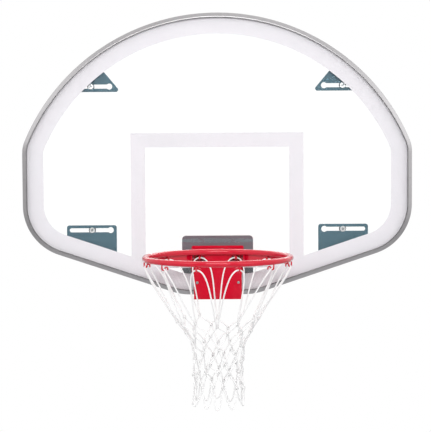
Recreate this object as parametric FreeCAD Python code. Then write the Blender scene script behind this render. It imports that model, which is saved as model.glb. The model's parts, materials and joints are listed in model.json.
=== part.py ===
import FreeCAD, Part
import math
import os

V = FreeCAD.Vector

# Fan-shaped board outline, heights from the centre of the mounting studs
board_width = 1371.6
board_height = 990.6
board_top = 509.0
top_radius = 736.6
shoulder_radius = 110.0
corner_radius = 184.0
side_foot = 184.8
flat_half = 130.0
flat_corner_radius = 200.0

# Aluminium frame section
frame_depth = 40.0
frame_wall = 3.0
frame_face = 15.0
lip_thick = 5.0
lip_slope = 3.75
lip_flat = 2.5
rear_flange = 24.0
face_round = 1.5
seam_gap = 0.4

# Glass, gasket and fired markings
glass_thick = 12.7
edge_gap = 2.0
gasket_thick = 2.0
gasket_show = 0.6
paint_thick = 0.3
border_edge = 73.0
target_width = 609.6
target_top = 89.0
target_line = 50.8
target_drop = 18.0

# Joining bars at the frame seams
splice_length = 140.0
splice_width = 15.0
splice_slack = 0.2
splice_screw_shares = (-0.38, -0.14, 0.14, 0.38)

# Mounting brackets with keyhole slots
bracket_thick = 5.0
bracket_inset = 6.0
stud_spacing_x = 889.0
stud_spacing_z = 508.0
slot_height = 14.6
slot_margin = 12.7
keyhole_run = 65.5
keyhole_radius = 10.75
upper_edge = 19.0
upper_margin = 29.5
upper_lean = 50.0
upper_round = 8.0
lower_edge = 17.5
lower_margin = 10.65
lower_end = 9.5
lower_round = 9.0
lower_rivet_shares = (0.1, 0.37, 0.63, 0.9)
upper_rivet_shares = (0.2, 0.43, 0.66, 0.89)

# Captive mounting studs
stud_radius = 6.35
stud_reach = 45.0
neck_radius = 6.9
stud_head_radius = 9.8
stud_head_thick = 5.0
socket_radius = 4.2
socket_depth = 3.2
retainer_radius = 13.0
retainer_thick = 2.0
slide_gap = 0.1
seat_gap = 0.5

# Rivets and screws
rivet_radius = 3.2
rivet_head_radius = 6.0
rivet_head_thick = 2.4
rivet_bulb_radius = 4.6
rivet_bulb_thick = 3.0
fit = 0.05

# Goal plate behind the glass
plate_half = 125.7
plate_rise = 45.0
plate_round = 14.0
plate_thick = 8.0
plate_foot = 3.2
pad_thick = 3.0
pad_half = 84.0
strap_inner = 68.0
strap_width = 50.0
strap_height = 56.0
strap_foot = 1.6
strap_screw_shares = (0.24, 0.76)

# Ring and its place on the board
ring_above_foot = 162.0
ring_inside = 457.2
rod_radius = 9.5
ring_reach = 152.4

# Fixed base of the breakaway rim
base_thick = 8.0
base_half = 92.0
base_rise = 11.0
base_drop = 88.0
tail_half = 74.0
tail_gap = 1.5
base_round = 7.0
bolt_spacing_x = 101.6
bolt_spacing_z = 101.6
bolt_drop = 24.0
bolt_radius = 6.0
bolt_head_radius = 10.0
bolt_head_thick = 7.0
washer_radius = 12.0
washer_thick = 2.0
nut_thick = 9.0
sleeve_wall = 4.0
hinge_reach = 34.0
hinge_drop = 24.0
pin_radius = 8.0
pin_half = 86.0
ear_radius = 16.0
ear_inner = 64.0
ear_thick = 8.0
clip_radius = 12.5
clip_thick = 2.0
clip_gap = 0.8
stop_height = 6.0
stop_thick = 1.9
bumper_width = 9.0
bumper_height = 22.0
bumper_drop = 62.0
bumper_thick = 4.0

# Moving hood
hood_half = 82.5
hood_sheet = 5.0
hood_rear = 13.0
hood_drop = 165.0
hood_wall = 122.0
hood_wall_thick = 6.0
top_plate_half = 92.0
top_plate_thick = 6.0
flex_angle = 30.0
gusset_rear = 40.0
gusset_front = 20.0
gusset_tip = 24.0
gusset_foot = 60.0
weld_gap = 0.5
bush_radius = 11.0
bush_flange_radius = 13.5
bush_gap = 0.4

# Front cover with two arches
cover_thick = 3.5
cover_step = 66.0
arch_radius = 28.0
arch_x = 65.0
arch_drop = 40.0
arch_foot = 8.0
cover_screw_x = 71.0
cover_screw_drop = 107.0
cover_screw_radius = 3.0
cover_head_radius = 4.7
cover_head_thick = 3.0

# Return springs and their seats
spring_x = 28.0
spring_drop = 78.0
spring_wire = 8.0
spring_mean = 16.0
spring_turns = 7
seat_radius = 21.0
seat_thick = 3.0
spigot_radius = 11.0
spigot_length = 15.0
coil_gap = 0.1

# Curved braces against the ring's rear
brace_thick = 5.0
brace_rise = 2.0
brace_drop = 30.0
brace_end = 65.0

# Net hooks of bent wire
hook_wire = 4.5
hook_bend = 4.75
hook_drop = 24.0
hook_tail = 4.5
hook_lean = 30.0
hook_inset = 1.5
hook_turns = (15.0, 45.0, 75.0, 105.0, 135.0, 165.0)

# Knotted net hanging below the hooks
net_cord = 5.0
net_thick = 4.0
net_columns = 12
net_end = 490.0
first_knot = 200.0
knot_step = 44.0
knot_rows = 6
loop_half = 9.0
net_mid_depths = (145.0, 216.0, 280.0, 329.0, 393.0)
net_mid_radii = (168.0, 120.0, 90.0, 81.0, 78.0)
net_end_radius = 86.0

# Planes in depth, plus Y points to the rear, zero is where the support's arms seat
retainer_rear = -seat_gap
retainer_front = retainer_rear - retainer_thick
bracket_rear = retainer_front - slide_gap
flange_rear = bracket_rear - bracket_thick
frame_front = flange_rear - frame_depth
glass_front = frame_front + lip_thick + gasket_thick
glass_rear = glass_front + glass_thick
paint_rear = glass_rear + paint_thick
leg_front = glass_rear + gasket_thick
leg_rear = leg_front + frame_wall
flange_front = flange_rear - frame_wall
plate_front = paint_rear + pad_thick
plate_rear = plate_front + plate_thick

# Heights and ring positions
half_width = board_width / 2
board_foot = board_top - board_height
ring_z = board_foot + ring_above_foot
rod_circle = ring_inside / 2 + rod_radius
ring_outer = rod_circle + rod_radius
ring_y = glass_front - ring_reach - ring_inside / 2
slope = math.atan2(side_foot, half_width - flat_half)
base_front = pad_thick + base_thick
hinge_z = ring_z - hinge_drop
tail_drop = ring_above_foot - frame_face - tail_gap
hook_circle = rod_circle - hook_inset
hook_swing = hook_bend * math.cos(math.radians(hook_lean))
net_top = hook_drop + hook_wire / 2 + fit / 2
net_depths = (net_top,) + net_mid_depths + (net_end,)
net_radii = (hook_circle + hook_swing,) + net_mid_radii + (net_end_radius,)


def ahead(reach):
    return glass_front - reach


hinge_y = ahead(hinge_reach)


def box(x0, x1, y0, y1, z0, z1):
    low = V(min(x0, x1), min(y0, y1), min(z0, z1))
    return Part.makeBox(abs(x1 - x0), abs(y1 - y0), abs(z1 - z0), low)


def rod_y(x, z, y0, y1, radius):
    return Part.makeCylinder(radius, abs(y1 - y0), V(x, min(y0, y1), z), V(0, 1, 0))


def rod_x(y, z, x0, x1, radius):
    return Part.makeCylinder(radius, abs(x1 - x0), V(min(x0, x1), y, z), V(1, 0, 0))


def mirrored(shape):
    return shape.mirror(V(0, 0, 0), V(1, 0, 0))


def both_sides(shape):
    return [shape, mirrored(shape)]


def save(name, solids):
    if not isinstance(solids, list):
        solids = [solids]
    bodies = [body for shape in solids for body in shape.Solids]
    whole = bodies[0] if len(bodies) == 1 else Part.makeCompound(bodies)
    whole.exportStep("parts/" + name + ".step")
    print(name, len(bodies), "solids", "valid" if whole.isValid() else "not valid")


def merge(first, others):
    return first.fuse(others).removeSplitter()


def polygon(points):
    return Part.Face(Part.makePolygon(points + points[:1]))


def prism_y(outline, y0, y1):
    face = polygon([V(x, y0, z) for x, z in outline])
    return face.extrude(V(0, y1 - y0, 0))


def hexagon(x, z, y0, y1, radius):
    turns = [step * math.pi / 3 for step in range(6)]
    corners = [(x + radius * math.cos(a), z + radius * math.sin(a)) for a in turns]
    return prism_y(corners, y0, y1)


def prism_x(outline, x0, x1):
    face = polygon([V(x0, ahead(reach), ring_z - drop) for reach, drop in outline])
    return face.extrude(V(x1 - x0, 0, 0))


def rounded_edges(shape, radius, spots):
    chosen = []
    for edge in shape.Edges:
        size = edge.BoundBox
        along_y = size.YLength > max(size.XLength, size.ZLength)
        centre = edge.CenterOfMass
        for x, z in spots:
            if along_y and math.hypot(centre.x - x, centre.z - z) < radius:
                chosen.append(edge)
    return shape.makeFillet(radius, chosen)


# Outline of the board, moved inwards by an inset
def arc(x, z, radius, start, end, y):
    turns = (start, (start + end) / 2, end)
    spots = [V(x + radius * math.cos(a), y, z + radius * math.sin(a)) for a in turns]
    return Part.Arc(*spots).toShape()


top_z = board_top - top_radius
shoulder_x = half_width - shoulder_radius
corner_x = half_width - corner_radius
corner_z = board_foot + side_foot + corner_radius * math.tan((math.pi / 2 - slope) / 2)
flat_x = flat_half - flat_corner_radius * math.tan(slope / 2)
flat_z = board_foot + flat_corner_radius


# The shoulder touches the top arc, or a straight run joins them where the board is wider than that arc
def shoulder_place():
    inside = top_radius - shoulder_radius
    if shoulder_x < inside:
        rise = math.sqrt(inside ** 2 - shoulder_x ** 2)
        return top_z + rise, math.atan2(rise, shoulder_x)
    z = corner_z + splice_length
    spread = math.hypot(shoulder_x, z - top_z)
    return z, math.atan2(z - top_z, shoulder_x) + math.acos(inside / spread)


shoulder_z, shoulder_turn = shoulder_place()
seam_z = (shoulder_z + corner_z) / 2


def fan(inset, y):
    low_turn = slope - math.pi / 2
    side = half_width - inset
    right = [
        arc(shoulder_x, shoulder_z, shoulder_radius - inset, shoulder_turn, 0, y),
        Part.makeLine(V(side, y, shoulder_z), V(side, y, corner_z)),
        arc(corner_x, corner_z, corner_radius - inset, 0, low_turn, y),
        arc(flat_x, flat_z, flat_corner_radius - inset, low_turn, -math.pi / 2, y),
    ]
    right.insert(3, Part.makeLine(right[2].Vertexes[-1].Point, right[3].Vertexes[0].Point))
    top = arc(0, top_z, top_radius - inset, shoulder_turn, math.pi - shoulder_turn, y)
    ends = top.Vertexes[0].Point, right[0].Vertexes[0].Point
    if (ends[1] - ends[0]).Length > fit:
        right.append(Part.makeLine(*ends))
    edges = right + [mirrored(edge) for edge in right] + [top]
    foot = board_foot + inset
    edges.append(Part.makeLine(V(-flat_x, y, foot), V(flat_x, y, foot)))
    return Part.Wire(Part.sortEdges(edges)[0])


def fan_plate(inset, y0, y1):
    return Part.Face(fan(inset, y0)).extrude(V(0, y1 - y0, 0))


def fan_ring(outer, inner, y0, y1):
    return fan_plate(outer, y0, y1).cut(fan_plate(inner, y0, y1))


def outline_meets(x0, z0, x1, z1, inset):
    ray = Part.makeLine(V(x0, 0, z0), V(x1, 0, z1))
    return ray.distToShape(fan(inset, 0))[1][0][0]


# Places on the brackets
stud_x = stud_spacing_x / 2
stud_z = stud_spacing_z / 2
keyhole_x = stud_x - keyhole_run
slot_outer = outline_meets(0, stud_z, board_width, stud_z, frame_face).x - slot_margin
upper_inner = keyhole_x - keyhole_radius - upper_margin
lower_inner = keyhole_x - keyhole_radius - lower_margin
lower_outer = slot_outer + lower_end
upper_foot = stud_z - upper_edge
rivet_inset = (rear_flange + frame_wall) / 2


def upper_rivet_spots():
    lean = math.radians(upper_lean)
    far = upper_inner + board_height * math.cos(lean), upper_foot + board_height * math.sin(lean)
    left = outline_meets(upper_inner, upper_foot, *far, rivet_inset).x
    right = outline_meets(upper_inner, upper_foot, board_width, upper_foot, rivet_inset).x
    places = [left + share * (right - left) for share in upper_rivet_shares]
    return [(x, outline_meets(x, 0, x, board_top, rivet_inset).z) for x in places]


def lower_rivet_spots():
    places = [lower_inner + share * (lower_outer - lower_inner) for share in lower_rivet_shares]
    return [(x, outline_meets(x, 0, x, board_foot, rivet_inset).z) for x in places]


# Fasteners along Y
def rivet(x, z, back, grip):
    head = rod_y(x, z, back, back + rivet_head_thick, rivet_head_radius)
    shank = rod_y(x, z, back, back - grip, rivet_radius)
    bulb = rod_y(x, z, back - grip, back - grip - rivet_bulb_thick, rivet_bulb_radius)
    return head.fuse([shank, bulb]).removeSplitter()


def rivet_hole(x, z, back, grip):
    return rod_y(x, z, back, back - grip, rivet_radius + fit)


splice_spots = [
    (side * (half_width - frame_wall - splice_width / 2), seam_z + share * splice_length)
    for side in (-1, 1)
    for share in splice_screw_shares
]
lower_spots = lower_rivet_spots()
upper_spots = upper_rivet_spots()
strap_spots = [strap_inner + share * strap_width for share in strap_screw_shares]
strap_low = board_foot + frame_wall + strap_foot
strap_rivet_z = board_foot + rivet_inset
strap_screw_z = strap_low + strap_height - rivet_head_radius * 2


# Board parts
lip_edge = frame_front + lip_slope


def frame_lip():
    lip = fan_ring(0, frame_face, frame_front, frame_front + lip_thick)
    front = [f for f in lip.Faces if abs(f.CenterOfMass.y - frame_front) < fit]
    return lip.makeChamfer(lip_slope, frame_face - lip_flat, front[0].OuterWire.Edges)


def frame_whole():
    shape = fan_ring(0, frame_wall, lip_edge, flange_rear)
    shape = merge(shape, [
        frame_lip(),
        fan_ring(0, frame_face, leg_front, leg_rear),
        fan_ring(0, rear_flange, flange_front, flange_rear),
    ])
    rim = [e for e in shape.Edges if max(abs(v.Y - lip_edge) for v in e.Vertexes) < fit]
    shape = shape.makeFillet(face_round, rim)
    holes = [rivet_hole(x, z, flange_rear, frame_wall) for x, z in splice_spots]
    for x, z in lower_spots + upper_spots:
        holes += both_sides(rivet_hole(x, z, flange_rear, frame_wall))
    for x in strap_spots:
        holes += both_sides(rivet_hole(x, strap_rivet_z, flange_rear, frame_wall))
    return shape.cut(holes)


def frame_half(whole, side):
    end = seam_z + side * board_height
    start = seam_z + side * seam_gap / 2
    return whole.common(box(-board_width, board_width, frame_front, 0, start, end))


def splice_bars():
    front = leg_rear + splice_slack
    outer = half_width - frame_wall - splice_slack
    z0 = seam_z - splice_length / 2
    bar = box(outer - splice_width, outer, front, flange_front, z0, z0 + splice_length)
    depth = flange_front - front
    holes = [rivet_hole(x, z, flange_front, depth) for x, z in splice_spots]
    return [piece.cut(holes) for piece in both_sides(bar)]


def splice_screws():
    shanks = []
    grip = flange_rear - leg_rear - splice_slack
    for x, z in splice_spots:
        head = rod_y(x, z, flange_rear, flange_rear + rivet_head_thick, rivet_head_radius)
        shanks.append(head.fuse(rod_y(x, z, flange_rear, flange_rear - grip, rivet_radius)))
    return [screw.removeSplitter() for screw in shanks]


def glazing_gasket():
    inner = frame_face + gasket_show
    front = fan_ring(frame_wall, inner, glass_front - gasket_thick, glass_front)
    edge = fan_ring(frame_wall, frame_wall + edge_gap, glass_front, paint_rear)
    rear = fan_ring(frame_wall, frame_face, paint_rear, leg_front)
    return merge(front, [edge, rear])


bolt_spots = [
    (side * bolt_spacing_x / 2, ring_z - bolt_drop - row * bolt_spacing_z)
    for side in (-1, 1)
    for row in (0, 1)
]


def bolt_holes(y0, y1, radius):
    return [rod_y(x, z, y0, y1, radius) for x, z in bolt_spots]


sleeve_radius = bolt_radius + sleeve_wall


def glass_panel():
    panel = fan_plate(frame_wall + edge_gap, glass_front, glass_rear)
    return panel.cut(bolt_holes(glass_front, glass_rear, sleeve_radius + fit))


def painted_markings():
    skin = fan_ring(frame_wall + edge_gap, border_edge, glass_rear, paint_rear)
    half = target_width / 2
    foot = ring_z - target_drop - target_line
    outer = box(-half, half, glass_rear, paint_rear, foot, target_top)
    inside = half - target_line
    inner = box(-inside, inside, glass_rear, paint_rear, foot + target_line, target_top - target_line)
    skin = merge(skin, [outer.cut(inner)])
    return skin.cut(bolt_holes(glass_rear, paint_rear, sleeve_radius + fit))


# Brackets
def keyhole_slot():
    half = slot_height / 2
    end = slot_outer - half
    shape = box(keyhole_x, end, flange_rear, bracket_rear, stud_z - half, stud_z + half)
    shape = shape.fuse(rod_y(end, stud_z, flange_rear, bracket_rear, half))
    return shape.fuse(rod_y(keyhole_x, stud_z, flange_rear, bracket_rear, keyhole_radius))


def upper_bracket():
    lean = math.tan(math.radians(upper_lean))
    outline = [
        (upper_inner, upper_foot),
        (half_width, upper_foot),
        (half_width, board_top),
        (upper_inner + (board_top - upper_foot) / lean, board_top),
    ]
    shape = prism_y(outline, flange_rear, bracket_rear)
    shape = rounded_edges(shape, upper_round, [outline[0]])
    shape = shape.common(fan_plate(bracket_inset, flange_rear, bracket_rear)).cut(keyhole_slot())
    return shape.cut([rivet_hole(x, z, bracket_rear, bracket_thick) for x, z in upper_spots])


def lower_bracket():
    top = lower_edge - stud_z
    outline = [
        (lower_inner, board_foot),
        (lower_outer, board_foot),
        (lower_outer, top),
        (lower_inner, top),
    ]
    shape = prism_y(outline, flange_rear, bracket_rear)
    shape = rounded_edges(shape, lower_round, outline[2:])
    slot = keyhole_slot()
    slot.translate(V(0, 0, -stud_spacing_z))
    shape = shape.common(fan_plate(bracket_inset, flange_rear, bracket_rear)).cut(slot)
    return shape.cut([rivet_hole(x, z, bracket_rear, bracket_thick) for x, z in lower_spots])


def bracket_rivets():
    grip = bracket_thick + frame_wall
    rivets = []
    for x, z in lower_spots + upper_spots:
        rivets += both_sides(rivet(x, z, bracket_rear, grip))
    return rivets


def mounting_stud():
    seat = flange_rear - slide_gap
    front = seat - stud_head_thick
    neck_end = retainer_rear + slide_gap
    head = rod_y(stud_x, stud_z, front, seat, stud_head_radius)
    neck = rod_y(stud_x, stud_z, seat, neck_end, neck_radius)
    shank = rod_y(stud_x, stud_z, neck_end, stud_reach, stud_radius)
    socket = hexagon(stud_x, stud_z, front, front + socket_depth, socket_radius)
    return head.fuse([neck, shank]).removeSplitter().cut(socket)


def stud_retainer():
    disc = rod_y(stud_x, stud_z, retainer_front, retainer_rear, retainer_radius)
    return disc.cut(rod_y(stud_x, stud_z, retainer_front, retainer_rear, neck_radius + fit))


# Goal plate, pads and straps
def goal_plate():
    foot = board_foot + frame_face + plate_foot
    top = ring_z + plate_rise
    outline = [(-plate_half, foot), (plate_half, foot), (plate_half, top), (-plate_half, top)]
    shape = prism_y(outline, plate_front, plate_rear)
    shape = rounded_edges(shape, plate_round, outline[2:])
    depth = plate_thick
    for x in strap_spots:
        shape = shape.cut(both_sides(rivet_hole(x, strap_screw_z, plate_rear, depth)))
    return shape.cut(bolt_holes(plate_front, plate_rear, bolt_radius + fit))


def isolation_pad(y0, y1):
    top = ring_z + base_rise / 2
    foot = ring_z - tail_drop + base_round
    pad = box(-pad_half, pad_half, y0, y1, foot, top)
    return pad.cut(bolt_holes(y0, y1, bolt_radius + fit))


def plate_straps():
    end = strap_inner + strap_width
    strap = box(strap_inner, end, plate_rear, flange_front, strap_low, strap_low + strap_height)
    depth = flange_front - plate_rear
    for x in strap_spots:
        for z in (strap_rivet_z, strap_screw_z):
            strap = strap.cut(rivet_hole(x, z, flange_front, depth))
    return both_sides(strap)


def strap_fasteners():
    pieces = []
    for x in strap_spots:
        pieces += both_sides(rivet(x, strap_rivet_z, flange_rear, flange_rear - plate_rear))
        head_z = strap_screw_z
        head = rod_y(x, head_z, flange_front, flange_front + rivet_head_thick, rivet_head_radius)
        shank = rod_y(x, head_z, flange_front, plate_front, rivet_radius)
        pieces += both_sides(head.fuse(shank).removeSplitter())
    return pieces


# Rim fasteners through the glass
def glass_sleeves():
    outer = bolt_holes(glass_front, paint_rear, sleeve_radius)
    inner = bolt_holes(glass_front, paint_rear, bolt_radius + fit)
    return [a.cut(b) for a, b in zip(outer, inner)]


def rim_bolts():
    seat = ahead(base_front + washer_thick)
    end = plate_rear + washer_thick + nut_thick + washer_thick
    pieces = []
    for x, z in bolt_spots:
        head = hexagon(x, z, seat - bolt_head_thick, seat, bolt_head_radius)
        pieces.append(head.fuse(rod_y(x, z, seat, end, bolt_radius)).removeSplitter())
    return pieces


def rim_washers():
    pieces = []
    for face in (ahead(base_front + washer_thick), plate_rear):
        back = face + washer_thick
        outer = bolt_holes(face, back, washer_radius)
        inner = bolt_holes(face, back, bolt_radius + fit)
        pieces += [a.cut(b) for a, b in zip(outer, inner)]
    return pieces


def rim_nuts():
    face = plate_rear + washer_thick
    back = face + nut_thick
    bores = bolt_holes(face, back, bolt_radius + fit)
    nuts = [hexagon(x, z, face, back, bolt_head_radius) for x, z in bolt_spots]
    return [nut.cut(bore) for nut, bore in zip(nuts, bores)]


# Fixed base of the rim
def base_plate():
    y0 = ahead(base_front)
    y1 = ahead(pad_thick)
    upper = [
        (-base_half, ring_z - base_drop),
        (base_half, ring_z - base_drop),
        (base_half, ring_z + base_rise),
        (-base_half, ring_z + base_rise),
    ]
    tail = [
        (-tail_half, ring_z - tail_drop),
        (tail_half, ring_z - tail_drop),
        (tail_half, ring_z - base_drop),
        (-tail_half, ring_z - base_drop),
    ]
    plate = rounded_edges(prism_y(upper, y0, y1), base_round, upper)
    foot = rounded_edges(prism_y(tail, y0, y1), base_round, tail[:2])
    plate = plate.fuse(foot).removeSplitter()
    ears = []
    for side in (-1, 1):
        x0 = side * ear_inner
        x1 = side * (ear_inner + ear_thick)
        web = box(x0, x1, y0, hinge_y, hinge_z - ear_radius, hinge_z + ear_radius)
        ears += [web, rod_x(hinge_y, hinge_z, x0, x1, ear_radius)]
    plate = plate.fuse(ears).removeSplitter()
    plate = plate.cut(rod_x(hinge_y, hinge_z, -pin_half, pin_half, pin_radius + fit))
    return plate.cut(bolt_holes(y0, y1, bolt_radius + fit))


def hinge_pin():
    return rod_x(hinge_y, hinge_z, -pin_half, pin_half, pin_radius)


def pin_clips():
    x0 = hood_half + clip_gap
    clip = rod_x(hinge_y, hinge_z, x0, x0 + clip_thick, clip_radius)
    bore = rod_x(hinge_y, hinge_z, x0, x0 + clip_thick, pin_radius + fit)
    return both_sides(clip.cut(bore))


def stop_bumper():
    z0 = ring_z - stop_height / 2
    y0 = ahead(base_front)
    return box(-ear_inner, ear_inner, y0, y0 - stop_thick, z0, z0 + stop_height)


def travel_bumpers():
    x0 = hood_half - hood_sheet / 2 - bumper_width / 2
    z1 = ring_z - bumper_drop
    y0 = ahead(base_front)
    pad = box(x0, x0 + bumper_width, y0, y0 - bumper_thick, z1 - bumper_height, z1)
    return both_sides(pad)


# Moving hood, reaches in front of the glass and drops below the ring plane
def ring_reach_at(x):
    return glass_front - ring_y - math.sqrt(ring_outer ** 2 - x ** 2)


def arch(front):
    y0 = ahead(front + cover_thick)
    y1 = ahead(hood_wall)
    z = ring_z - arch_drop
    round_part = rod_y(arch_x, z, y0, y1, arch_radius)
    below = box(arch_x - arch_radius, arch_x + arch_radius, y0, y1, z - arch_foot, z)
    shape = round_part.common(box(0, base_half, y0, y1, z, ring_z)).fuse(below)
    limit = box(0, hood_half + clip_gap, y0, y1, z - arch_foot, ring_z)
    return shape.common(limit)


def hood():
    top = box(
        -top_plate_half, top_plate_half, ahead(hood_rear), ring_y,
        ring_z - top_plate_thick / 2, ring_z + top_plate_thick / 2,
    )
    reach = Part.makeCylinder(ring_outer + fit, board_height, V(0, ring_y, board_foot), V(0, 0, 1))
    top = top.cut(reach)
    under = top_plate_thick / 2
    lean = math.tan(math.radians(flex_angle))
    wall_front = hood_wall + hood_wall_thick
    side = [
        (hood_rear, under),
        (hood_rear, hinge_drop),
        (hood_rear + (hood_drop - hinge_drop) * lean, hood_drop),
        (wall_front, hood_drop),
        (wall_front, under),
    ]
    sheet = prism_x(side, hood_half - hood_sheet, hood_half)
    rod_x_edge = ring_reach_at(top_plate_half - hood_sheet)
    shelf = rod_radius + weld_gap
    gusset = [
        (gusset_rear, under),
        (rod_x_edge - weld_gap, under),
        (rod_x_edge - weld_gap, shelf),
        (rod_x_edge + gusset_front, shelf),
        (rod_x_edge + gusset_front, gusset_tip),
        (wall_front, gusset_foot),
        (gusset_rear, gusset_tip),
    ]
    fin = prism_x(gusset, top_plate_half - hood_sheet, top_plate_half)
    z0 = ring_z - hood_drop
    inner = hood_half - hood_sheet
    wall = box(-inner, inner, ahead(hood_wall), ahead(wall_front), z0, ring_z - under)
    shape = merge(top, both_sides(sheet) + both_sides(fin) + [wall])
    shape = shape.cut(both_sides(arch(wall_front)))
    shape = shape.cut(rod_x(hinge_y, hinge_z, -hood_half, hood_half, bush_radius + fit))
    screw = rod_y(cover_screw_x, ring_z - cover_screw_drop, ahead(hood_wall), ahead(wall_front),
                  cover_screw_radius + fit)
    return shape.cut(both_sides(screw))


def front_cover():
    front = hood_wall + hood_wall_thick
    y0 = ahead(front + cover_thick)
    y1 = ahead(front)
    foot = ring_z - hood_drop
    step = ring_z - cover_step
    lower = box(-hood_half, hood_half, y0, y1, foot, step)
    inner = hood_half - hood_sheet
    upper = box(-inner, inner, y0, y1, step, ring_z - top_plate_thick / 2 - weld_gap)
    shape = merge(lower, [upper]).cut(both_sides(arch(front)))
    hole = rod_y(cover_screw_x, ring_z - cover_screw_drop, y0, y1, cover_screw_radius + fit)
    return shape.cut(both_sides(hole))


def cover_screws():
    front = ahead(hood_wall + hood_wall_thick + cover_thick)
    z = ring_z - cover_screw_drop
    head = rod_y(cover_screw_x, z, front - cover_head_thick, front, cover_head_radius)
    shank = rod_y(cover_screw_x, z, front, ahead(hood_wall), cover_screw_radius)
    rim = [e for e in head.Edges if abs(e.CenterOfMass.y - front + cover_head_thick) < fit]
    head = head.makeFillet(cover_head_thick / 2, rim)
    return both_sides(head.fuse(shank).removeSplitter())


def hood_bushings():
    x0 = ear_inner + ear_thick + bush_gap
    x1 = hood_half - hood_sheet
    flange = rod_x(hinge_y, hinge_z, x0, x1, bush_flange_radius)
    body = rod_x(hinge_y, hinge_z, x1, hood_half, bush_radius)
    bore = rod_x(hinge_y, hinge_z, x0, hood_half, pin_radius + fit)
    return both_sides(flange.fuse(body).removeSplitter().cut(bore))


def seat(base, way):
    z = ring_z - spring_drop
    disc = rod_y(spring_x, z, ahead(base), ahead(base + way * seat_thick), seat_radius)
    end = base + way * (seat_thick + spigot_length)
    spigot = rod_y(spring_x, z, ahead(base), ahead(end), spigot_radius)
    return both_sides(disc.fuse(spigot).removeSplitter())


# Coil spring on quarter-turn biarcs
def joined_arcs(p0, t0, p1, t1):
    chord = p1 - p0
    t = t0 + t1
    spread = 2 * (1 - t0.dot(t1))
    along = chord.dot(t)
    d = (math.sqrt(along ** 2 + spread * chord.dot(chord)) - along) / spread
    q0 = p0 + t0 * d
    q1 = p1 - t1 * d
    join = (q0 + q1) * 0.5
    edges = []
    for a, q, b in ((p0, q0, join), (join, q1, p1)):
        c = (a + b) * 0.5
        cosine = (b - a).Length / 2 / d
        middle = c + (q - c) * (cosine / (1 + cosine))
        edges.append(Part.Arc(a, middle, b).toShape())
    return edges


spring_start = base_front + seat_thick + spring_wire / 2 + coil_gap
spring_end = hood_wall - seat_thick - spring_wire / 2 - coil_gap
spring_pitch = (spring_end - spring_start) / spring_turns


def spring_spot(turn):
    a = 2 * math.pi * turn
    z = ring_z - spring_drop
    reach = spring_start + spring_pitch * turn
    return V(spring_x + spring_mean * math.cos(a), ahead(reach), z + spring_mean * math.sin(a))


def spring_way(turn):
    a = 2 * math.pi * turn
    rise = spring_pitch / (2 * math.pi)
    way = V(-spring_mean * math.sin(a), -rise, spring_mean * math.cos(a))
    return way.normalize()


def return_spring():
    edges = []
    for quarter in range(spring_turns * 4):
        a, b = quarter / 4, (quarter + 1) / 4
        edges += joined_arcs(spring_spot(a), spring_way(a), spring_spot(b), spring_way(b))
    path = Part.Wire(edges)
    profile = Part.Wire(Part.makeCircle(spring_wire / 2, spring_spot(0), spring_way(0)))
    print("spring least gap to itself", round(spring_self_gap(), 2))
    return path.makePipeShell([profile], True, False)


def spring_self_gap():
    steps = 48
    spots = [spring_spot(i / steps) for i in range(spring_turns * steps + 1)]
    least = min(
        (spots[i] - spots[j]).Length
        for i in range(len(spots))
        for j in range(i + steps // 2, min(i + 2 * steps, len(spots)))
    )
    return least - spring_wire


# Ring, braces and hooks
def ring_rod():
    return Part.makeTorus(rod_circle, rod_radius, V(0, ring_y, ring_z), V(0, 0, 1))


def ring_brace():
    inside = ring_outer + fit
    start = math.asin((top_plate_half + fit) / inside)
    sweep = math.radians(brace_end) - start
    height = brace_rise + brace_drop
    foot = V(0, ring_y, ring_z - brace_drop)
    outer = Part.makeCylinder(inside + brace_thick, height, foot, V(0, 0, 1), math.degrees(sweep))
    strip = outer.cut(Part.makeCylinder(inside, height, foot, V(0, 0, 1)))
    strip.rotate(V(0, ring_y, 0), V(0, 0, 1), 90 - brace_end)
    return strip


def net_hook():
    side = 2 * hook_bend
    low = hook_bend - hook_drop
    weld = 2 * hook_swing - hook_inset - hook_wire / 2
    top = -math.sqrt(rod_radius ** 2 - weld ** 2) - fit / 2
    path = Part.Wire([
        Part.makeLine(V(side, 0, top), V(side, 0, low)),
        Part.Arc(V(side, 0, low), V(hook_bend, 0, low - hook_bend), V(0, 0, low)).toShape(),
        Part.Arc(V(0, 0, low), V(-hook_bend, 0, low + hook_bend), V(-side, 0, low)).toShape(),
        Part.makeLine(V(-side, 0, low), V(-side, 0, low - hook_tail)),
    ])
    profile = Part.Wire(Part.makeCircle(hook_wire / 2, V(side, 0, top), V(0, 0, -1)))
    hook = path.makePipeShell([profile], True, False)
    hook.rotate(V(0, 0, 0), V(0, 0, 1), hook_lean - 90)
    hook.translate(V(0, ring_y - hook_circle, ring_z))
    return hook


def net_hooks():
    pieces = []
    for turn in hook_turns:
        hook = net_hook()
        hook.rotate(V(0, ring_y, 0), V(0, 0, 1), turn)
        pieces += both_sides(hook)
    return pieces


# Net as a thin body of revolution with its meshes cut out
def net_radius(depth):
    for i in range(len(net_depths) - 1):
        if depth <= net_depths[i + 1]:
            break
    share = (depth - net_depths[i]) / (net_depths[i + 1] - net_depths[i])
    return net_radii[i] + share * (net_radii[i + 1] - net_radii[i])


def net_shell():
    outer = [V(r + net_thick / 2, 0, -d) for d, r in zip(net_depths, net_radii)]
    inner = [V(r - net_thick / 2, 0, -d) for d, r in zip(net_depths, net_radii)]
    face = polygon(outer + inner[::-1])
    return face.revolve(V(0, 0, 0), V(0, 0, 1), 360)


def inset_outline(points, gap):
    count = len(points)
    moved = []
    for i in range(count):
        (x0, z0), (x1, z1), (x2, z2) = points[i - 1], points[i], points[(i + 1) % count]
        a = V(x1 - x0, z1 - z0, 0).normalize()
        b = V(x2 - x1, z2 - z1, 0).normalize()
        na, nb = V(-a.y, a.x, 0), V(-b.y, b.x, 0)
        corner = (na + nb) * (gap / (1 + na.dot(nb)))
        moved.append((x1 + corner.x, z1 + corner.y))
    return moved


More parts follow.
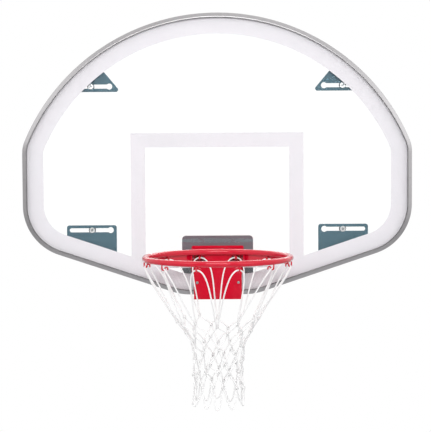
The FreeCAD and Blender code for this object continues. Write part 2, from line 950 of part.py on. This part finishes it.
def mesh_cutter(outline, turn, gap):
    spots = [V(x, 0, z) for x, z in inset_outline(outline, gap)]
    tool = polygon(spots).extrude(V(0, -rod_circle - rod_radius, 0))
    tool.rotate(V(0, 0, 0), V(0, 0, 1), turn)
    return tool


def net():
    step = math.pi / net_columns
    gap = net_cord / 2
    knots = [first_knot + knot_step * row for row in range(knot_rows)]

    def half(depth):
        return net_radius(depth) * math.sin(step)

    def diamond(top, middle, low):
        return [(0, -top), (-half(middle), -middle), (0, -low), (half(middle), -middle)]

    loop = [
        (loop_half, -net_top - gap),
        (-loop_half, -net_top - gap),
        (-half(knots[0]), -knots[0]),
        (0, -knots[1]),
        (half(knots[0]), -knots[0]),
    ]
    open_half = net_radius(net_top) * math.sin(step) - loop_half / 2
    notch = [(open_half, 0), (-open_half, 0), (0, -knots[0])]
    tail = [
        (0, -knots[-2]),
        (-half(knots[-1]), -knots[-1]),
        (-half(net_end) / 2, -net_end),
        (half(net_end) / 2, -net_end),
        (half(knots[-1]), -knots[-1]),
    ]
    hem = net_end + net_cord
    gore = [(0, -knots[-1]), (-half(net_end) / 2, -hem), (half(net_end) / 2, -hem)]
    tools = []
    for column in range(net_columns):
        turn = 180 / net_columns + column * 360 / net_columns
        between = turn + 180 / net_columns
        tools.append(mesh_cutter(loop, turn, gap))
        tools.append(mesh_cutter(notch, between, gap))
        for row in range(knot_rows - 2):
            facing = between if row % 2 == 0 else turn
            tools.append(mesh_cutter(diamond(*knots[row:row + 3]), facing, gap))
        tail_turn = between if knot_rows % 2 == 0 else turn
        tools.append(mesh_cutter(tail, tail_turn, gap))
        tools.append(mesh_cutter(gore, tail_turn + 180 / net_columns, gap))
    shape = net_shell().cut(tools)
    shape.translate(V(0, ring_y, ring_z))
    return shape


os.makedirs("parts", exist_ok=True)
whole_frame = frame_whole()
save("frame_upper", frame_half(whole_frame, 1))
save("frame_lower", frame_half(whole_frame, -1))
save("frame_splices", splice_bars())
save("splice_screws", splice_screws())
save("glazing_gasket", glazing_gasket())
save("glass_panel", glass_panel())
save("painted_markings", painted_markings())
save("bracket_upper_right", upper_bracket())
save("bracket_upper_left", mirrored(upper_bracket()))
save("bracket_lower_right", lower_bracket())
save("bracket_lower_left", mirrored(lower_bracket()))
save("bracket_rivets", bracket_rivets())
for height, drop in (("upper", 0), ("lower", -stud_spacing_z)):
    stud, clip = mounting_stud(), stud_retainer()
    stud.translate(V(0, 0, drop))
    clip.translate(V(0, 0, drop))
    save("stud_" + height + "_right", stud)
    save("stud_" + height + "_left", mirrored(stud))
    save("retainer_" + height + "_right", clip)
    save("retainer_" + height + "_left", mirrored(clip))
save("goal_plate", goal_plate())
save("rear_pad", isolation_pad(paint_rear, plate_front))
save("front_pad", isolation_pad(ahead(pad_thick), glass_front))
save("plate_straps", plate_straps())
save("strap_fasteners", strap_fasteners())
save("glass_sleeves", glass_sleeves())
save("rim_bolts", rim_bolts())
save("rim_washers", rim_washers())
save("rim_nuts", rim_nuts())
save("base_plate", base_plate())
save("hinge_pin", hinge_pin())
save("pin_clips", pin_clips())
save("stop_bumper", stop_bumper())
save("travel_bumpers", travel_bumpers())
save("base_spring_seats", seat(base_front, 1))
save("spring_right", return_spring())
save("spring_left", mirrored(return_spring()))
save("hood", hood())
save("front_cover", front_cover())
save("cover_screws", cover_screws())
save("hood_bushings", hood_bushings())
save("hood_spring_seats", seat(hood_wall, -1))
save("ring_rod", ring_rod())
save("ring_brace_right", ring_brace())
save("ring_brace_left", mirrored(ring_brace()))
save("net_hooks", net_hooks())
save("net", net())
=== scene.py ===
"""Looks for the basketball backboard: finishes, knotted net, coil springs, floor, light and camera."""

import json
import math
import random

import bpy
from mathutils import Euler, Matrix, Vector


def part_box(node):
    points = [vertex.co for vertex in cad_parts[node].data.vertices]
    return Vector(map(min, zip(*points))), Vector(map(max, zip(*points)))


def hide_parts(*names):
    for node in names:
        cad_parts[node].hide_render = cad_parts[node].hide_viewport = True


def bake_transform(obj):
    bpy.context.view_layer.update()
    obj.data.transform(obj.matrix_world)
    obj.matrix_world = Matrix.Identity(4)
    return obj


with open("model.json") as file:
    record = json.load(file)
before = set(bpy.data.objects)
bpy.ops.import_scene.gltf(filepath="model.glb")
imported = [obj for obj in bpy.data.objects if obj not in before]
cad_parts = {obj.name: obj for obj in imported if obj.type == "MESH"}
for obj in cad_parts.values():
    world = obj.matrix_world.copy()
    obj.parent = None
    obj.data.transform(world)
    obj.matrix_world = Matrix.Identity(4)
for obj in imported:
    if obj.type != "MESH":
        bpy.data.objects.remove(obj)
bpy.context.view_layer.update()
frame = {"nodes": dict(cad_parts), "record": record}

MM = 0.001
RING_CENTRE = Vector((0, -421.6, -319.6)) * MM
HOOKS = 12
HOOK_STEP = math.radians(360 / HOOKS)
CORD_RADIUS = 2.4 * MM
CORD_SIDES = 8


# Colours and node helper

# Noise values between which a finish runs from its first colour and roughness to its second
NOISE_SPAN = (0.3, 0.7)


def linear(code):
    """An sRGB hex colour as linear red, green, blue and full alpha."""
    values = [int(code[i:i + 2], 16) / 255 for i in (1, 3, 5)]
    return [v / 12.92 if v <= 0.04045 else ((v + 0.055) / 1.055) ** 2.4 for v in values] + [1]


def add(tree, kind, inputs=None, **settings):
    """Adds one node: settings are its own options, and inputs hold either a value or a socket to join."""
    node = tree.nodes.new(kind)
    for name, value in settings.items():
        setattr(node, name, value)
    for name, value in (inputs or {}).items():
        if isinstance(value, bpy.types.NodeSocket):
            tree.links.new(value, node.inputs[name])
        else:
            node.inputs[name].default_value = value
    return node


def new_finish(name, **values):
    """An empty surface: its material, node tree and shader, with the shader's plain values set."""
    material = bpy.data.materials.new(name)
    material.use_nodes = True
    tree = material.node_tree
    tree.nodes.clear()
    shader = add(tree, "ShaderNodeBsdfPrincipled", {k.replace("_", " "): v for k, v in values.items()})
    add(tree, "ShaderNodeOutputMaterial", {"Surface": shader.outputs["BSDF"]})
    return material, tree, shader


def mottle(tree, shader, size_mm, colours, roughness, bump_mm=0):
    """Noise of one real size that varies a finish's colour and roughness, and raises it by bump_mm."""
    place = add(tree, "ShaderNodeTexCoord").outputs["Object"]
    noise = add(tree, "ShaderNodeTexNoise",
                {"Vector": place, "Scale": 1 / (size_mm * MM), "Detail": 4, "Roughness": 0.6}).outputs["Fac"]
    ramp = add(tree, "ShaderNodeValToRGB", {"Fac": noise})
    for element, position, colour in zip(ramp.color_ramp.elements, NOISE_SPAN, colours):
        element.position = position
        element.color = linear(colour)
    tree.links.new(ramp.outputs["Color"], shader.inputs["Base Color"])
    sheen = add(tree, "ShaderNodeMapRange",
                {"Value": noise, "From Min": NOISE_SPAN[0], "From Max": NOISE_SPAN[1],
                 "To Min": roughness[0], "To Max": roughness[1]})
    tree.links.new(sheen.outputs["Result"], shader.inputs["Roughness"])
    if bump_mm:
        bump = add(tree, "ShaderNodeBump", {"Height": noise, "Strength": 1, "Distance": bump_mm * MM})
        tree.links.new(bump.outputs["Normal"], shader.inputs["Normal"])


# Finishes

# Painted shade in hollows fades out between these two shares of open space within its reach
PAINTED_SHADE_REACH = 8 * MM
PAINTED_SHADE_SPAN = (0.35, 0.75)

BRAID_STRANDS = 4
BRAID_RELIEF = 0.2 * MM


def satin_anodised_aluminium():
    """Extruded, etched and anodised aluminium: a soft silver that mirrors broad light and dark, never sharp
    images. The etched grain is under 0.1 mm, drawn here as 9 mm clouds so that it shows."""
    material, tree, shader = new_finish("satin_anodised_aluminium", Metallic=1)
    mottle(tree, shader, 9, ("#B2B0B2", "#B9B7B8"), (0.28, 0.32), 0.003)
    return material


def clear_toughened_glass():
    """Polished soda-lime float glass, tempered: clear, with a trace of green and a thin film of court dust.
    The film lies in clouds about 120 mm across."""
    material, tree, shader = new_finish("clear_toughened_glass", IOR=1.5, Transmission_Weight=1)
    mottle(tree, shader, 120, ("#FDFFFE", "#FFFFFF"), (0.0, 0.02))
    return material


def white_fired_ink():
    """Ceramic ink screened and fired on the back of the glass: an even cool white with a faint screen grain.
    The screen is about 0.3 mm, drawn as 6 mm clouds so that it shows."""
    material, tree, shader = new_finish("white_fired_ink", IOR=1.5)
    mottle(tree, shader, 6, ("#EAE7EC", "#EFECF1"), (0.4, 0.5), 0.01)
    return material


def blue_grey_powder_coat():
    """Powder-coated pressed steel: an even slate blue with a low gloss and orange peel.
    The peel is about 2 mm, drawn as 5 mm so that it shows."""
    material, tree, shader = new_finish("blue_grey_powder_coat", IOR=1.5, Specular_IOR_Level=0.25)
    mottle(tree, shader, 5, ("#365B69", "#3C6271"), (0.38, 0.5), 0.05)
    return material


def grey_powder_coat():
    """Powder-coated steel plate: a neutral slate grey, flatter than the brackets.
    The orange peel is about 2 mm, drawn as 5 mm so that it shows."""
    material, tree, shader = new_finish("grey_powder_coat", IOR=1.5, Specular_IOR_Level=0.25)
    mottle(tree, shader, 5, ("#5F666D", "#666D73"), (0.42, 0.55), 0.05)
    return material


def red_powder_coat():
    """Semi-gloss red powder coat over steel: a deep even red with broad highlights and slight orange peel.
    The peel is about 2 mm, drawn as 6 mm so that it shows."""
    material, tree, shader = new_finish("red_powder_coat", IOR=1.55)
    mottle(tree, shader, 6, ("#CA0027", "#D4012B"), (0.1, 0.15), 0.02)
    return material


def bright_zinc_plate():
    """Zinc-plated turned and pressed steel: grey metal, yellower where the passivation pools, with painted
    shade darkening its sockets and corners. The pools are about 6 mm, and the painted shade fills hollows up
    to 8 mm wide."""
    material, tree, shader = new_finish("bright_zinc_plate", Metallic=1)
    mottle(tree, shader, 6, ("#A6ABB2", "#B3B2AE"), (0.34, 0.46), 0.01)
    plating = shader.inputs["Base Color"].links[0].from_socket
    # Painted shade: ambient occlusion darkens the base colour towards near black in sockets and corners
    hollow = add(tree, "ShaderNodeAmbientOcclusion", {"Color": (1, 1, 1, 1), "Distance": PAINTED_SHADE_REACH})
    unshaded_share = add(tree, "ShaderNodeMapRange",
                {"Value": hollow.outputs["AO"], "From Min": PAINTED_SHADE_SPAN[0], "From Max": PAINTED_SHADE_SPAN[1],
                 "To Min": 0.0, "To Max": 1.0})
    painted_shade_colour = add(tree, "ShaderNodeMix", {0: unshaded_share.outputs["Result"], 6: linear("#24262A"), 7: plating},
                  data_type="RGBA")
    tree.links.new(painted_shade_colour.outputs[2], shader.inputs["Base Color"])
    return material


def oiled_spring_steel():
    """Hardened spring wire and spring clips, blued and oiled: dark metal with a smeared shine.
    The oil lies in patches about 5 mm across."""
    material, tree, shader = new_finish("oiled_spring_steel", Metallic=1)
    mottle(tree, shader, 5, ("#3D4046", "#565A60"), (0.25, 0.45), 0.01)
    return material


def black_moulded_rubber():
    """Moulded black rubber: almost no gloss, greyed by dust in patches.
    The mould's spark texture is about 0.5 mm, drawn as 3 mm so that it shows."""
    material, tree, shader = new_finish("black_moulded_rubber", IOR=1.5, Specular_IOR_Level=0.35)
    mottle(tree, shader, 3, ("#161617", "#222223"), (0.65, 0.85), 0.1)
    return material


def sintered_bronze():
    """Pressed and sintered bronze bushing: dull brown-gold metal, speckled by its oil pores.
    The pores are about 0.2 mm, drawn as 2 mm so that they show."""
    material, tree, shader = new_finish("sintered_bronze", Metallic=1)
    mottle(tree, shader, 2, ("#8F6A3E", "#B98B55"), (0.35, 0.55), 0.05)
    return material


def white_braided_nylon():
    """Braided nylon cord: soft white, shaded in the hollows between its crossing strands.
    Its strands are about 2 mm wide, drawn as 4 mm, four each way round the cord, so that they show."""
    material, tree, shader = new_finish("white_braided_nylon", IOR=1.53, Roughness=0.75, Sheen_Weight=0.8,
                                        Sheen_Roughness=0.5, Subsurface_Weight=1,
                                        Subsurface_Radius=(1, 1, 1), Subsurface_Scale=CORD_RADIUS)
    place = add(tree, "ShaderNodeSeparateXYZ", {"Vector": add(tree, "ShaderNodeTexCoord").outputs["UV"]})
    waves = []
    for lean in ("ADD", "SUBTRACT"):
        across = add(tree, "ShaderNodeMath", {0: place.outputs["X"], 1: place.outputs["Y"]}, operation=lean)
        turns = add(tree, "ShaderNodeMath", {0: across.outputs[0], 1: BRAID_STRANDS * math.tau},
                    operation="MULTIPLY")
        waves.append(add(tree, "ShaderNodeMath", {0: turns.outputs[0]}, operation="SINE").outputs[0])
    braid = add(tree, "ShaderNodeMath", {0: waves[0], 1: waves[1]}, operation="MAXIMUM")
    ramp = add(tree, "ShaderNodeValToRGB", {"Fac": braid.outputs[0]})
    for element, colour in zip(ramp.color_ramp.elements, ("#F5F4F4", "#FAF9F9")):
        element.color = linear(colour)
    tree.links.new(ramp.outputs["Color"], shader.inputs["Base Color"])
    bump = add(tree, "ShaderNodeBump", {"Height": braid.outputs[0], "Strength": 1, "Distance": BRAID_RELIEF})
    tree.links.new(bump.outputs["Normal"], shader.inputs["Normal"])
    return material


def pale_sealed_floor():
    """Sealed pale screed: an even light grey with soft clouds about half a metre across."""
    material, tree, shader = new_finish("pale_sealed_floor", IOR=1.5)
    mottle(tree, shader, 500, ("#C0C0C2", "#C6C6C7"), (0.6, 0.7))
    return material


# Cord and wire sweeps


def bezier(a, b, c, d, count):
    """Points along one cubic curve, its last point left out."""
    points = []
    for i in range(count):
        t = i / count
        s = 1 - t
        points.append(a * s ** 3 + b * 3 * s * s * t + c * 3 * s * t * t + d * t ** 3)
    return points


def side_directions(path, closed):
    """The run and one side direction at each point, carried along without twist."""
    count = len(path)
    last = count if closed else count - 1
    runs = [(path[(i + 1) % count if i < last else i] - path[i - 1 if closed or i else i]).normalized()
            for i in range(count)]
    side = runs[0].orthogonal().normalized()
    sides = []
    for run in runs:
        side = (side - run * side.dot(run)).normalized()
        sides.append(side)
    if closed:
        end = (side - runs[0] * side.dot(runs[0])).normalized()
        slip = math.atan2(runs[0].dot(end.cross(sides[0])), end.dot(sides[0]))
        sides = [Matrix.Rotation(slip * i / count, 3, runs[i]) @ s for i, s in enumerate(sides)]
    return runs, sides


def sweep(shape, path, radius, around, closed=False):
    """Adds a round tube along path to shape, with u once round the tube and v in tube girths along it."""
    runs, sides = side_directions(path, closed)
    girth = math.tau * radius
    first = len(shape["points"])
    along, lengths = 0, []
    for i, (point, run, side) in enumerate(zip(path, runs, sides)):
        along += (point - path[i - 1]).length if i else 0
        lengths.append(along / girth)
        across = run.cross(side)
        for j in range(around):
            turn = math.tau * j / around
            shape["points"].append(point + (side * math.cos(turn) + across * math.sin(turn)) * radius)
    count = len(path)
    ends = lengths + [lengths[-1] + (path[0] - path[-1]).length / girth]
    for i in range(count if closed else count - 1):
        here, there = first + i * around, first + (i + 1) % count * around
        for j in range(around):
            k = (j + 1) % around
            shape["faces"].append((here + j, here + k, there + k, there + j))
            u, v = j / around, (j + 1) / around
            shape["uvs"] += [(u, ends[i]), (v, ends[i]), (v, ends[i + 1]), (u, ends[i + 1])]
    if not closed:
        for start, order in ((first, -1), (first + (count - 1) * around, 1)):
            shape["faces"].append(tuple(start + j for j in range(around))[::order])
            shape["uvs"] += [(j / around, 0) for j in range(around)][::order]


def make_piece(name, shape, material):
    """A smooth-shaded mesh object of a finished shape."""
    mesh = bpy.data.meshes.new(name)
    mesh.from_pydata(shape["points"], [], shape["faces"])
    layer = mesh.uv_layers.new(name="cord_length")
    for loop, uv in zip(layer.data, shape["uvs"]):
        loop.uv = uv
    mesh.polygons.foreach_set("use_smooth", [True] * len(mesh.polygons))
    mesh.materials.append(material)
    piece = bpy.data.objects.new(name, mesh)
    bpy.context.scene.collection.objects.link(piece)
    return piece


# Knotted net

HOOK_RADIUS = 240.7 * MM
HOOK_ASIDE = 2.375 * MM
HOOK_LEAN = math.radians(30)
LOOP_DEPTH = 19.25 * MM
KNOT_DEPTHS = [206 * MM, 242 * MM, 286 * MM, 333 * MM, 378 * MM, 420 * MM]
KNOT_RADII = [137 * MM, 108 * MM, 88 * MM, 81 * MM, 78 * MM, 79 * MM]
TIP_DEPTH = 484 * MM
TIP_RADIUS = 87 * MM

# How far the cord keeps its direction on leaving a hook, the first knots, the other knots and a bottom loop
LOOP_GRIP = 58 * MM
FIRST_GRIP = 70 * MM
KNOT_GRIP = 16 * MM
TIP_GRIP = 12 * MM

# The cord's lean per unit of drop: inwards at the first, second and lower rows of knots, and round the ring
INWARD_LEAN = (0.62, 0.5, 0.1)
ROUND_LEAN = 0.3

# A strand's offset from the middle of a knot, in cord radii
STRAND_OFFSET = 0.8

# Unevenness of hand-tied knots, in degrees and mm either way
NET_SEED = 7
UNEVEN_ANGLE = 4
UNEVEN_RADIUS = 5
UNEVEN_DEPTH = 8
UNEVEN_TIP_DEPTH = (-9, 6)

# A knot's winding: its radius, its turns and its points in a turn
KNOT_COIL = 3.6 * MM
KNOT_TURNS = 1.6
KNOT_STEPS = 10

# Points along a strand from hook to knot, and along one from knot to knot
LONG_STEPS = 22
SHORT_STEPS = 9


def outward_and_onward(azimuth):
    """The level directions away from the ring's centre and on round it, at an angle from the front."""
    return (Vector((math.sin(azimuth), -math.cos(azimuth), 0)),
            Vector((math.cos(azimuth), math.sin(azimuth), 0)))


def net_place(azimuth, radius, depth):
    """A point of the net from its angle round the ring, from the front, its radius and its drop."""
    return RING_CENTRE + Vector((radius * math.sin(azimuth), -radius * math.cos(azimuth), -depth))


def uneven(chance, reach):
    """A seeded departure of up to reach either way."""
    return chance.uniform(-reach, reach)


def knot_places(chance):
    """Each row's knots as angle, radius and depth, a little uneven as tied by hand."""
    rows = []
    for row, (depth, radius) in enumerate(zip(KNOT_DEPTHS, KNOT_RADII)):
        start = 0 if row % 2 == 0 else HOOK_STEP / 2
        rows.append([(start + k * HOOK_STEP + math.radians(uneven(chance, UNEVEN_ANGLE)),
                      radius + uneven(chance, UNEVEN_RADIUS) * MM,
                      depth + uneven(chance, UNEVEN_DEPTH) * MM)
                     for k in range(HOOKS)])
    return rows


def loop_top(k):
    """Where the cord lies in hook k, and its direction there, square to the hook."""
    azimuth = HOOK_STEP * (k + 0.5)
    away = 1 if azimuth < math.pi else -1
    outward, onward = outward_and_onward(azimuth)
    place = net_place(azimuth, HOOK_RADIUS, LOOP_DEPTH) + onward * away * HOOK_ASIDE
    return place, onward * math.cos(HOOK_LEAN) - outward * away * math.sin(HOOK_LEAN)


def strand(k, way, rows):
    """The knots that the cord meets going down from hook k, turning by half a hook step each row.
    Each is its place and its direction there, and the two strands of a knot pass one behind the other."""
    stops = []
    for row, knots in enumerate(rows):
        turn = 2 * k + 1 + way * (row + 1)
        azimuth, radius, depth = knots[(turn - row % 2) // 2 % HOOKS]
        outward, onward = outward_and_onward(azimuth)
        lean = INWARD_LEAN[min(row, len(INWARD_LEAN) - 1)]
        down = (Vector((0, 0, -1)) - outward * lean + onward * way * ROUND_LEAN).normalized()
        stops.append((net_place(azimuth, radius, depth) + outward * way * CORD_RADIUS * STRAND_OFFSET, down))
    return stops


def tip_turn(k, way):
    """The angle index of the bottom loop that the cord reaches from hook k."""
    return (2 * k + 1 + way * (len(KNOT_DEPTHS) + 1)) % (2 * HOOKS)


def bottom_loops(chance):
    """Each bottom loop's lowest place and its direction there, by angle index."""
    tips = {}
    for turn in range(0, 2 * HOOKS, 2):
        azimuth = turn * HOOK_STEP / 2 + math.radians(uneven(chance, UNEVEN_ANGLE))
        radius = TIP_RADIUS + uneven(chance, UNEVEN_RADIUS) * MM
        depth = TIP_DEPTH + chance.uniform(*UNEVEN_TIP_DEPTH) * MM
        tips[turn] = (net_place(azimuth, radius, depth), outward_and_onward(azimuth)[1])
    return tips


def net_path(rows, tips):
    """The net's one cord: down from a hook through a knot of each row, round a bottom loop and up to another
    hook, until it has met every hook."""
    between = [(KNOT_GRIP, KNOT_GRIP)] * (len(rows) - 1)
    grips = [(LOOP_GRIP, FIRST_GRIP)] + between + [(KNOT_GRIP, TIP_GRIP), (TIP_GRIP, KNOT_GRIP)]
    grips += between + [(FIRST_GRIP, LOOP_GRIP)]
    path, hook = [], 0
    for _ in range(HOOKS):
        tip = tip_turn(hook, 1)
        landing = next(k for k in range(HOOKS) if tip_turn(k, -1) == tip)
        rising = [(place, -run) for place, run in strand(landing, -1, rows)][::-1]
        stops = [loop_top(hook)] + strand(hook, 1, rows) + [tips[tip]] + rising + [loop_top(landing)]
        for (a, run_a), (b, run_b), (ahead, behind) in zip(stops, stops[1:], grips):
            count = LONG_STEPS if FIRST_GRIP in (ahead, behind) else SHORT_STEPS
            path += bezier(a, a + run_a * ahead, b - run_b * behind, b, count)
        hook = landing
    return path


def wind_knot(shape, place):
    """A cord wound round the two strands of a knot."""
    steps = int(KNOT_TURNS * KNOT_STEPS)
    height = KNOT_TURNS * 2 * CORD_RADIUS
    coil = []
    for i in range(steps + 1):
        turn = math.tau * KNOT_TURNS * i / steps
        coil.append(place + Vector((math.cos(turn) * KNOT_COIL, math.sin(turn) * KNOT_COIL,
                                    (0.5 - i / steps) * height)))
    sweep(shape, coil, CORD_RADIUS, CORD_SIDES)


def make_net(material):
    """The whole net on its hooks, hung from the ring above and free below."""
    chance = random.Random(NET_SEED)
    rows = knot_places(chance)
    shape = {"points": [], "faces": [], "uvs": []}
    sweep(shape, net_path(rows, bottom_loops(chance)), CORD_RADIUS, CORD_SIDES, closed=True)
    for knots in rows:
        for knot in knots:
            wind_knot(shape, net_place(*knot))
    net = make_piece("knotted_net", shape, material)
    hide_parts("net")
    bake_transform(net)


# Coil springs

SPRING_WIRE_RADIUS = 4 * MM
SPRING_TURNS = 7
CLOSED_TURNS = 1
TURN_STEPS = 24
WIRE_SIDES = 12


def make_spring(node, winding, material):
    """A round-wire compression spring between its seats, its end coils closed."""
    low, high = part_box(node)
    wire = SPRING_WIRE_RADIUS
    middle = (low + high) / 2
    radius = (high.x - low.x) / 2 - wire
    front, back = low.y + wire, high.y - wire
    open_length = back - front - 4 * CLOSED_TURNS * wire
    path = []
    for i in range(SPRING_TURNS * TURN_STEPS + 1):
        turn = i / TURN_STEPS
        closing = min(turn, CLOSED_TURNS) + max(0, turn - SPRING_TURNS + CLOSED_TURNS)
        share = (turn - closing) / (SPRING_TURNS - 2 * CLOSED_TURNS)
        reach = 2 * wire * closing + share * open_length
        angle = math.tau * turn * winding
        path.append(Vector((middle.x + radius * math.cos(angle), back - reach,
                            middle.z + radius * math.sin(angle))))
    shape = {"points": [], "faces": [], "uvs": []}
    sweep(shape, path, wire, WIRE_SIDES)
    spring = make_piece("coil_" + node, shape, material)
    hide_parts(node)
    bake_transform(spring)


# Finishes onto the pieces

FINISHES = {
    "aluminium_frame": satin_anodised_aluminium(),
    "toughened_glass": clear_toughened_glass(),
    "white_marking": white_fired_ink(),
    "bracket_grey": blue_grey_powder_coat(),
    "plate_grey": grey_powder_coat(),
    "red_steel": red_powder_coat(),
    "zinc_steel": bright_zinc_plate(),
    "spring_steel": oiled_spring_steel(),
    "black_rubber": black_moulded_rubber(),
    "bronze": sintered_bronze(),
    "white_cord": white_braided_nylon(),
}
for subpart in frame["record"]["subparts"]:
    node = frame["nodes"][subpart["node"]]
    node.data.materials.clear()
    node.data.materials.append(FINISHES[subpart["material_slot"]])

# Clear glass neither shades what lies behind it nor keeps soft light from it
frame["nodes"]["glass_panel"].visible_shadow = False
frame["nodes"]["glass_panel"].visible_diffuse = False

make_net(FINISHES["white_cord"])
make_spring("spring_left", 1, FINISHES["spring_steel"])
make_spring("spring_right", -1, FINISHES["spring_steel"])


# Floor

FLOOR_DROP = 3050 * MM
FLOOR_HALF = 12
FLOOR_REAR = 9
scene = bpy.context.scene
floor_height = RING_CENTRE.z - FLOOR_DROP
floor_corners = ((-FLOOR_HALF, -FLOOR_HALF), (FLOOR_HALF, -FLOOR_HALF),
                 (FLOOR_HALF, FLOOR_REAR), (-FLOOR_HALF, FLOOR_REAR))
floor_mesh = bpy.data.meshes.new("floor")
floor_mesh.from_pydata([(x, y, floor_height) for x, y in floor_corners], [], [(0, 1, 2, 3)])
floor_mesh.materials.append(pale_sealed_floor())
floor = bpy.data.objects.new("floor", floor_mesh)
scene.collection.objects.link(floor)


# White studio: a white backdrop in view, soft light all round, and a dark room for metal to mirror

scene.view_settings.view_transform = "Standard"
AMBIENT = 0.77
GLASS_LOSS = 0.08

# The room lies behind the camera, opposite to ROOM_AWAY, and its edge fades between these two cosines
ROOM_AWAY = (0.08, 0.997, 0)
ROOM_EDGE = (-0.9, -0.75)
ROOM_LEVEL = 0.12

world = bpy.data.worlds.new("white_studio")
scene.world = world
world.use_nodes = True
sky = world.node_tree
sky.nodes.clear()
rays = add(sky, "ShaderNodeLightPath").outputs
bare = add(sky, "ShaderNodeMath", {0: rays["Is Camera Ray"], 1: rays["Is Transmission Ray"]},
           operation="MAXIMUM").outputs[0]
shown = add(sky, "ShaderNodeMath", {0: bare, 1: rays["Is Glossy Ray"]}, operation="MAXIMUM").outputs[0]
direction = add(sky, "ShaderNodeTexCoord").outputs["Generated"]
facing = add(sky, "ShaderNodeVectorMath", {0: direction, 1: ROOM_AWAY}, operation="DOT_PRODUCT")
room = add(sky, "ShaderNodeMapRange",
           {"Value": facing.outputs["Value"], "From Min": ROOM_EDGE[0], "From Max": ROOM_EDGE[1],
            "To Min": ROOM_LEVEL, "To Max": 1.0}, interpolation_type="SMOOTHSTEP")
lit = add(sky, "ShaderNodeMath", {0: bare, 1: room.outputs["Result"]}, operation="MAXIMUM")

# Seen through the glass, the backdrop makes up for the light that the glass mirrors away
through = add(sky, "ShaderNodeMath", {0: rays["Is Transmission Ray"], 1: GLASS_LOSS, 2: lit.outputs[0]},
              operation="MULTIPLY_ADD")
level = add(sky, "ShaderNodeMix", {0: shown, 2: AMBIENT, 3: through.outputs[0]}, data_type="FLOAT")
backdrop = add(sky, "ShaderNodeBackground", {"Color": (1, 1, 1, 1), "Strength": level.outputs[0]})
add(sky, "ShaderNodeOutputWorld", {"Surface": backdrop.outputs["Background"]})


# Lamps, in metres and watts


def hang_lamp(name, place, aim, size, power):
    """A soft rectangular studio lamp turned to a point."""
    lamp = bpy.data.lights.new(name, "AREA")
    lamp.shape = "RECTANGLE"
    lamp.size, lamp.size_y = size
    lamp.energy = power
    holder = bpy.data.objects.new(name, lamp)
    scene.collection.objects.link(holder)
    holder.location = place
    holder.rotation_euler = (Vector(aim) - Vector(place)).to_track_quat("-Z", "Y").to_euler()


hang_lamp("key_softbox", place=(0, -7.0, 2.2), aim=(0, -0.4, -0.1), size=(4, 1), power=207)
hang_lamp("left_panel", place=(-5.0, -5.5, 2.6), aim=(0, -0.1, 0.2), size=(3, 3), power=28)
hang_lamp("right_panel", place=(5.0, -5.5, 2.0), aim=(0, -0.1, 0.2), size=(3, 3), power=27)
hang_lamp("back_fill", place=(0.8, 4.5, 3.2), aim=(0, -0.2, -0.3), size=(8, 4), power=200)


# Camera, in front of the board at about the height of its middle, tipped slightly down (angles in radians)

IMAGE_SIZE = 432
FOCAL_PIXELS = 1452.75
SENSOR_WIDTH = 36
CAMERA_PLACE = Vector((-3.67, -5157.25, 87.08)) * MM
CAMERA_TIP = 0.0569
CAMERA_TURN = 0.0006
CAMERA_ROLL = -0.0062
camera = bpy.data.cameras.new("camera")
camera.sensor_width = SENSOR_WIDTH
camera.lens = FOCAL_PIXELS * SENSOR_WIDTH / IMAGE_SIZE
viewer = bpy.data.objects.new("camera", camera)
scene.collection.objects.link(viewer)
aimed = Euler((math.pi / 2 - CAMERA_TIP, 0, CAMERA_TURN)).to_matrix()
rolled = aimed @ Matrix.Rotation(CAMERA_ROLL, 3, "Z")
viewer.matrix_world = Matrix.Translation(CAMERA_PLACE) @ rolled.to_4x4()
scene.camera = viewer
